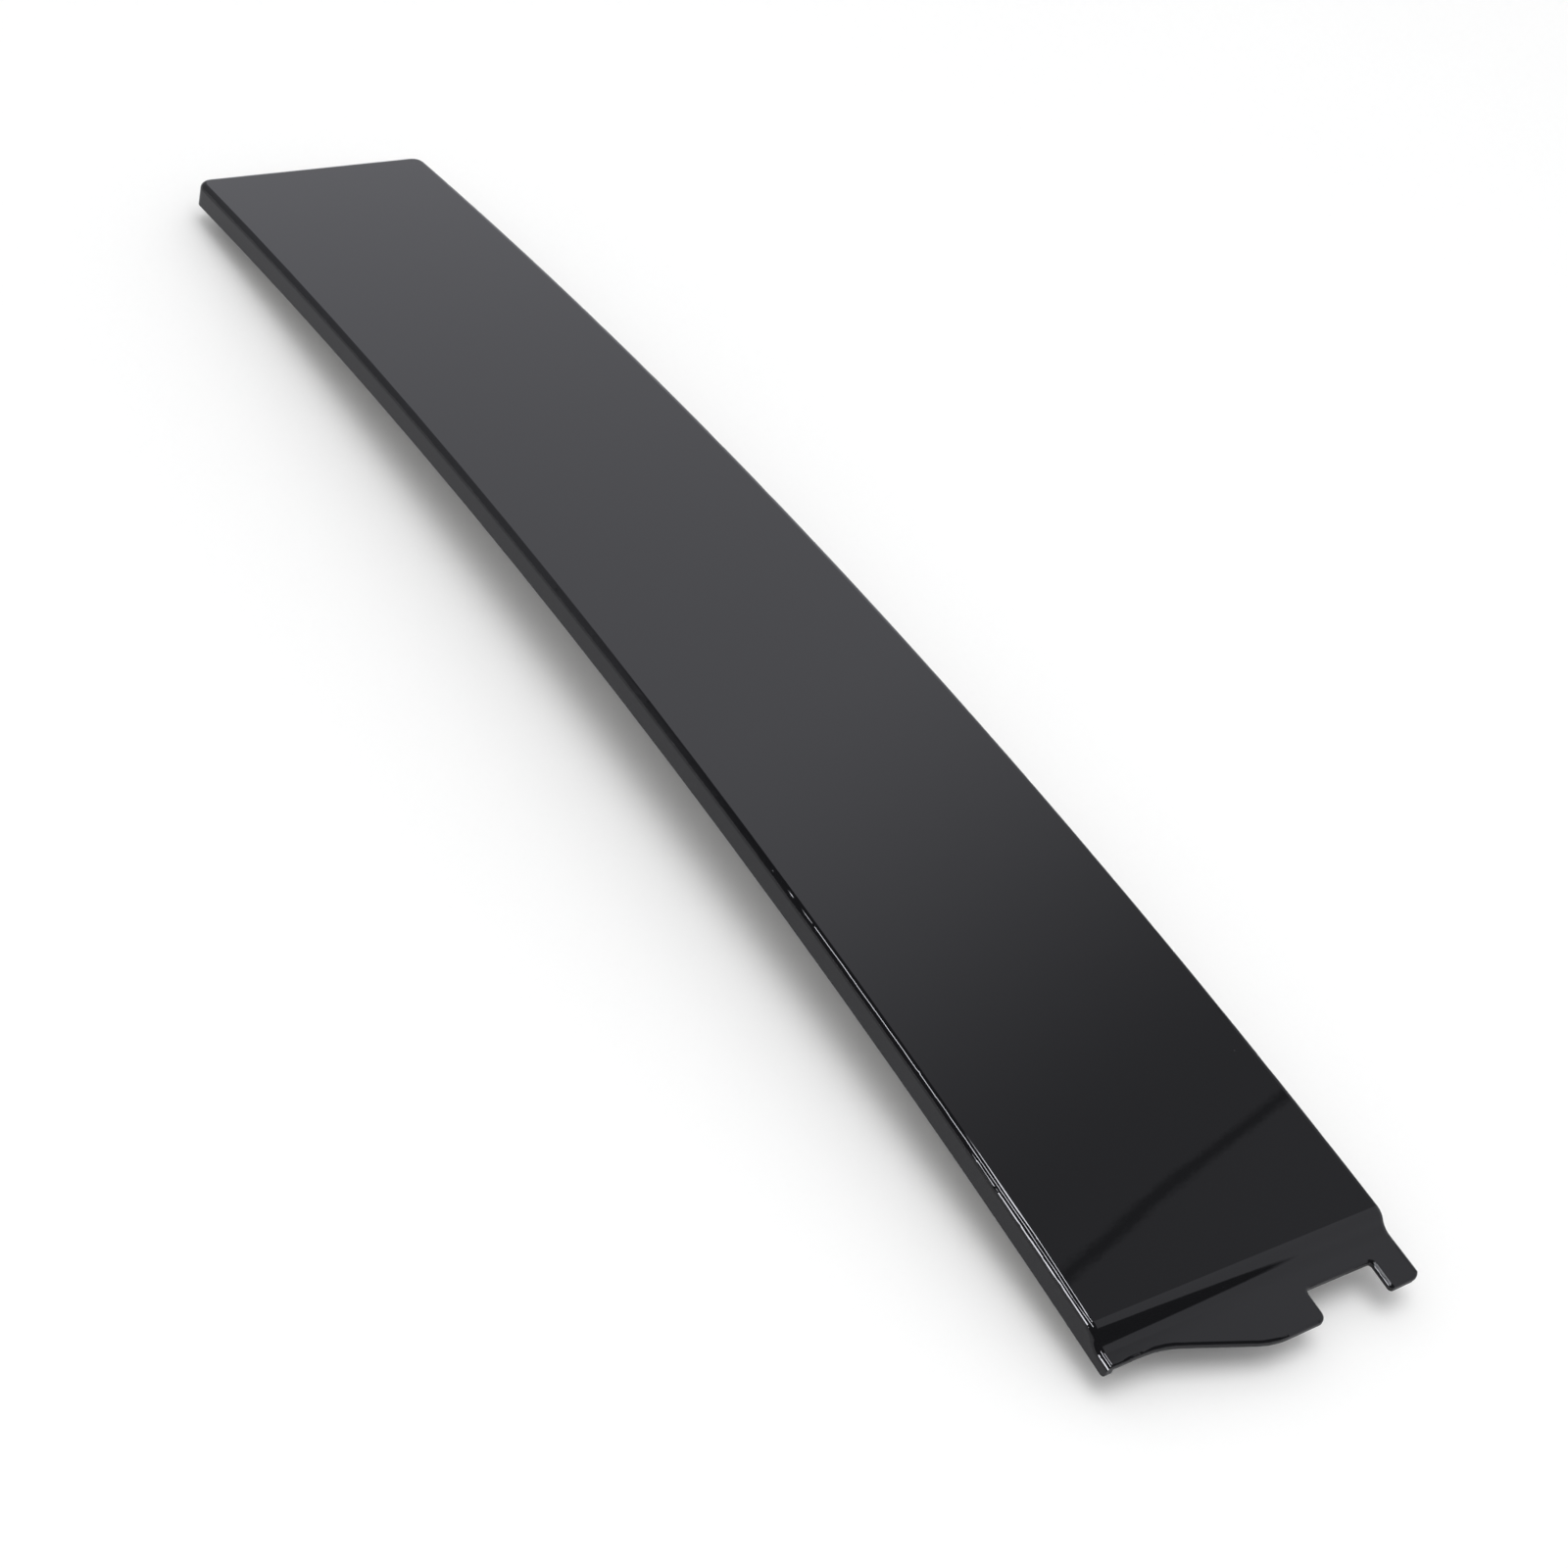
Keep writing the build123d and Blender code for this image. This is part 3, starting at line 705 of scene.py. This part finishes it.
class TRIM_OT_tapes(bpy.types.Operator):
    """Makes the foam tapes and their release liners"""

    bl_idname = "trim.tapes"
    bl_label = "Make Tapes and Liners"

    def execute(self, context):
        sizes, colours = context.scene.trim_sizes, context.scene.trim_colours
        foam, film = cut_foam("tape_foam_grey", colours.tape, 3400.0), liner_film(colours)
        tape_top = -sizes.skin - sizes.bond_gap
        tape_bottom = tape_top - sizes.tape_thickness
        liner_top = tape_bottom - sizes.bond_gap
        liner_bottom = liner_top - sizes.liner_thickness
        for place in ("shut_side", "glass_side", "head"):
            node = f"{place}_tape"
            tape = self.strip(sizes, node, tape_top, tape_bottom, sizes.tape_round)
            stand_in(tape, foam, node, "cover")
            node = f"{place}_liner"
            liner = self.strip(sizes, node, liner_top, liner_bottom, sizes.liner_round)
            stand_in(liner, film, node, f"{node}_body")
        return {"FINISHED"}

    def strip(self, sizes, node, upper, lower, rounding):
        """A strip laid over its CAD solid, with the width and the slanted ends of the solid."""
        points = corners(node)
        along = 1 if node.startswith("head") else 0
        other = 1 - along
        limits = points[:, along].min(), points[:, along].max()
        at_end = [points[np.abs(points[:, along] - limit) < END_REACH] for limit in limits]
        spans = [(end[:, other].min(), end[:, other].max()) for end in at_end]
        ends = [(limit, sum(span) / 2) for limit, span in zip(limits, spans)]
        if along:
            ends = [end[::-1] for end in ends]
        (x0, y0), (x1, y1) = ends
        turn = (math.pi / 2 if along else 0.0) - math.atan2(y1 - y0, x1 - x0)
        width = (spans[0][1] - spans[0][0]) * math.cos(turn)
        count = max(12, int(math.dist(*ends) / RING_SPACING))
        return laid_bar(f"{node}_strip", sizes, ends, width, upper, lower, rounding, turn, count, 48)


class TRIM_OT_foams(bpy.types.Operator):
    """Makes the anti-rattle foam pads"""

    bl_idname = "trim.foams"
    bl_label = "Make Foam Pads"

    def execute(self, context):
        sizes = context.scene.trim_sizes
        material = cut_foam("pad_foam_black", context.scene.trim_colours.pad, 1500.0)
        for name, rise in PAD_RISES.items():
            low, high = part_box(name)
            middle = (low + high) / 2
            drop = sizes.step_drop if name == "tongue_foam" else 0.0
            upper = -sizes.skin - drop - sizes.bond_gap
            lower = low.z + rise - float(bow_height(sizes, middle.x, middle.y, 0.0))
            ends, width = ((low.x, middle.y), (high.x, middle.y)), high.y - low.y
            title = name.replace("foam", "foam_pad")
            pad = laid_bar(title, sizes, ends, width, upper, lower, sizes.pad_round, 0.0, 40, 64)
            stand_in(pad, material, name, "cover")
        return {"FINISHED"}


class TRIM_OT_studio(bpy.types.Operator):
    """Makes the floor, the light and the camera"""

    bl_idname = "trim.studio"
    bl_label = "Make Studio"

    def execute(self, context):
        studio = context.scene.trim_studio
        self.floor(studio)
        self.world(context, studio)
        self.key(context, studio)
        self.camera(context, studio)
        context.scene.view_settings.view_transform = "Standard"
        return {"FINISHED"}

    def floor(self, studio):
        """A wide plain floor just under the plate, which gloss mirrors darker than it is."""
        half, z = studio.floor_span / 2, CAD_LOW.z - studio.floor_gap
        points = np.array([[-half, -half, z], [half, -half, z], [half, half, z], [-half, half, z]])
        floor = mesh_object("studio_floor", points, np.array([[0, 1, 2, 3]]), closed=False)
        finish = Finish("floor_white_matt")
        tree = finish.tree
        cloud = noise(tree, finish.vector, 3.0, 3.0)
        white = mix_colour(tree, cloud, (0.90, 0.90, 0.90), (0.93, 0.93, 0.93))
        glossy = tree.nodes.new("ShaderNodeLightPath").outputs["Is Glossy Ray"]
        finish.put("Base Color", mix_colour(tree, glossy, white, (0.5, 0.5, 0.52)))
        finish.put("Roughness", 0.75)
        finish.put("Specular IOR Level", 0.1)
        dress(floor, finish.material)

    def world(self, context, studio):
        """An even room, in which gloss mirrors a studio's own softboxes instead.

        The softboxes are laid out by the x, y and z of the direction that a mirrored ray takes. A
        low y is what the face and the tongue mirror, a higher one what the long rolled edge does."""
        world = bpy.data.worlds.new("studio_backdrop")
        context.scene.world = world
        world.use_nodes = True
        tree = world.node_tree
        part = tree.nodes.new("ShaderNodeSeparateXYZ")
        tree.links.new(tree.nodes.new("ShaderNodeTexCoord").outputs["Generated"], part.inputs[0])
        x, y, z = part.outputs
        face_side = self.backdrop(tree, studio, x, y, z)
        face_side = math_node(tree, "MULTIPLY", face_side, self.dark_gap(tree, x, y))
        edge_side = ramp(tree, x, 0.45, 0.65, 0.06, 0.42)
        mirrored = mix_value(tree, ramp(tree, y, -0.40, -0.28), face_side, edge_side)
        for strip in self.strips(tree, x, y, z):
            mirrored = math_node(tree, "MULTIPLY_ADD", strip, studio.strip_light, mirrored)
        tinted = tree.nodes.new("ShaderNodeVectorMath")
        tinted.operation = "SCALE"
        tinted.inputs[0].default_value = studio.mirror_tint
        tree.links.new(mirrored, tinted.inputs["Scale"])
        glossy = tree.nodes.new("ShaderNodeLightPath").outputs["Is Glossy Ray"]
        light = mix_colour(tree, glossy, [studio.room_light] * 3, tinted.outputs[0])
        tree.links.new(light, tree.nodes["Background"].inputs["Color"])

    def backdrop(self, tree, studio, x, y, z):
        """What the face mirrors: a backdrop that fades towards the foot down to a dark seam, and past
        the seam a plainer one. across is 0 at the seam, which leans 20 degrees off square."""
        across = math_node(tree, "MULTIPLY_ADD", x, 0.94, math_node(tree, "MULTIPLY", y, 0.342))
        across = math_node(tree, "MULTIPLY_ADD", z, -0.011, across)
        far = ramp(tree, across, 0.02, 0.30, 0.30, studio.backdrop_light)
        near = ramp(tree, x, 0.15, 0.172, 0.66, 0.34)
        near = math_node(tree, "MULTIPLY", near, ramp(tree, y, -0.6, -0.545, 1.0, 0.95))
        whole = mix_value(tree, ramp(tree, across, -0.004, 0.004), near, far)
        seam = ramp(tree, math_node(tree, "ABSOLUTE", across), 0.0005, 0.005, 0.34, 1.0)
        return math_node(tree, "MULTIPLY", whole, seam)

    def dark_gap(self, tree, x, y):
        """A dark gap in the backdrop, which the joggle mirrors as a wedge that narrows across it. Its
        slanted side has the slope and passes through the point of the two values named here."""
        slope, point_x, point_y = 9.5, -0.42, -0.525
        side_x = math_node(tree, "MULTIPLY_ADD", y, slope, point_x - slope * point_y)
        wedge = ramp(tree, math_node(tree, "SUBTRACT", side_x, x), -0.06, 0.04)
        gap = math_node(tree, "MULTIPLY", wedge, ramp(tree, x, -0.25, -0.15, 1.0, 0.0))
        return math_node(tree, "MULTIPLY_ADD", gap, -0.9, 1.0)

    def strips(self, tree, x, y, z):
        """Masks of the narrow lights, each within its ranges of the direction's x, y and z."""
        for spans in STRIP_SPANS:
            mask = 1.0
            for value, (low, high) in zip((x, y, z), spans):
                middle, half = (low + high) / 2, (high - low) / 2
                away = math_node(tree, "ABSOLUTE", math_node(tree, "SUBTRACT", value, middle))
                inside = ramp(tree, away, half - STRIP_EDGE, half + STRIP_EDGE, 1.0, 0.0)
                mask = math_node(tree, "MULTIPLY", inside, mask)
            yield mask

    def key(self, context, studio):
        """A soft light overhead, which gloss doesn't mirror."""
        light = bpy.data.lights.new("key_soft", "AREA")
        light.shape = "RECTANGLE"
        light.size = light.size_y = studio.key_span
        light.energy = studio.key_power
        lamp = bpy.data.objects.new("key_soft", light)
        lamp.location = studio.key_place
        lamp.rotation_euler = (-lamp.location).to_track_quat("-Z", "Y").to_euler()
        lamp.visible_glossy = False
        context.scene.collection.objects.link(lamp)

    def camera(self, context, studio):
        """The camera, placed and turned as the studio's settings say."""
        data = bpy.data.cameras.new("studio_camera")
        data.lens = studio.lens
        data.sensor_width = studio.sensor_width
        data.shift_x, data.shift_y = studio.camera_shift
        data.clip_start = 0.01
        camera = bpy.data.objects.new("studio_camera", data)
        camera.location = studio.camera_place
        camera.rotation_euler = studio.camera_turn
        context.scene.collection.objects.link(camera)
        context.scene.camera = camera


class TRIM_PT_sidebar(bpy.types.Panel):
    """Lists the trim plate's steps"""

    bl_label = "Trim Plate"
    bl_idname = "TRIM_PT_sidebar"
    bl_space_type = "VIEW_3D"
    bl_region_type = "UI"
    bl_category = "Trim Plate"

    def draw(self, context):
        for operator in OPERATORS:
            self.layout.operator(operator.bl_idname)
        for name in SETTINGS:
            box = self.layout.box()
            settings = getattr(context.scene, name)
            for prop in settings.bl_rna.properties:
                if prop.identifier not in ("rna_type", "name"):
                    box.prop(settings, prop.identifier)


SETTINGS = {"trim_sizes": TrimSizes, "trim_colours": TrimColours, "trim_studio": TrimStudio}
OPERATORS = (TRIM_OT_cover, TRIM_OT_clips, TRIM_OT_seals, TRIM_OT_tapes, TRIM_OT_foams, TRIM_OT_studio)


def register():
    for cls in (*SETTINGS.values(), *OPERATORS, TRIM_PT_sidebar):
        bpy.utils.register_class(cls)
    for name, cls in SETTINGS.items():
        setattr(bpy.types.Scene, name, PointerProperty(type=cls))


def unregister():
    for name in SETTINGS:
        delattr(bpy.types.Scene, name)
    for cls in (TRIM_PT_sidebar, *OPERATORS[::-1], *list(SETTINGS.values())[::-1]):
        bpy.utils.unregister_class(cls)


def main():
    register()
    bpy.ops.trim.cover()
    bpy.ops.trim.clips()
    bpy.ops.trim.seals()
    bpy.ops.trim.tapes()
    bpy.ops.trim.foams()
    bpy.ops.trim.studio()


if __name__ == "__main__":
    main()
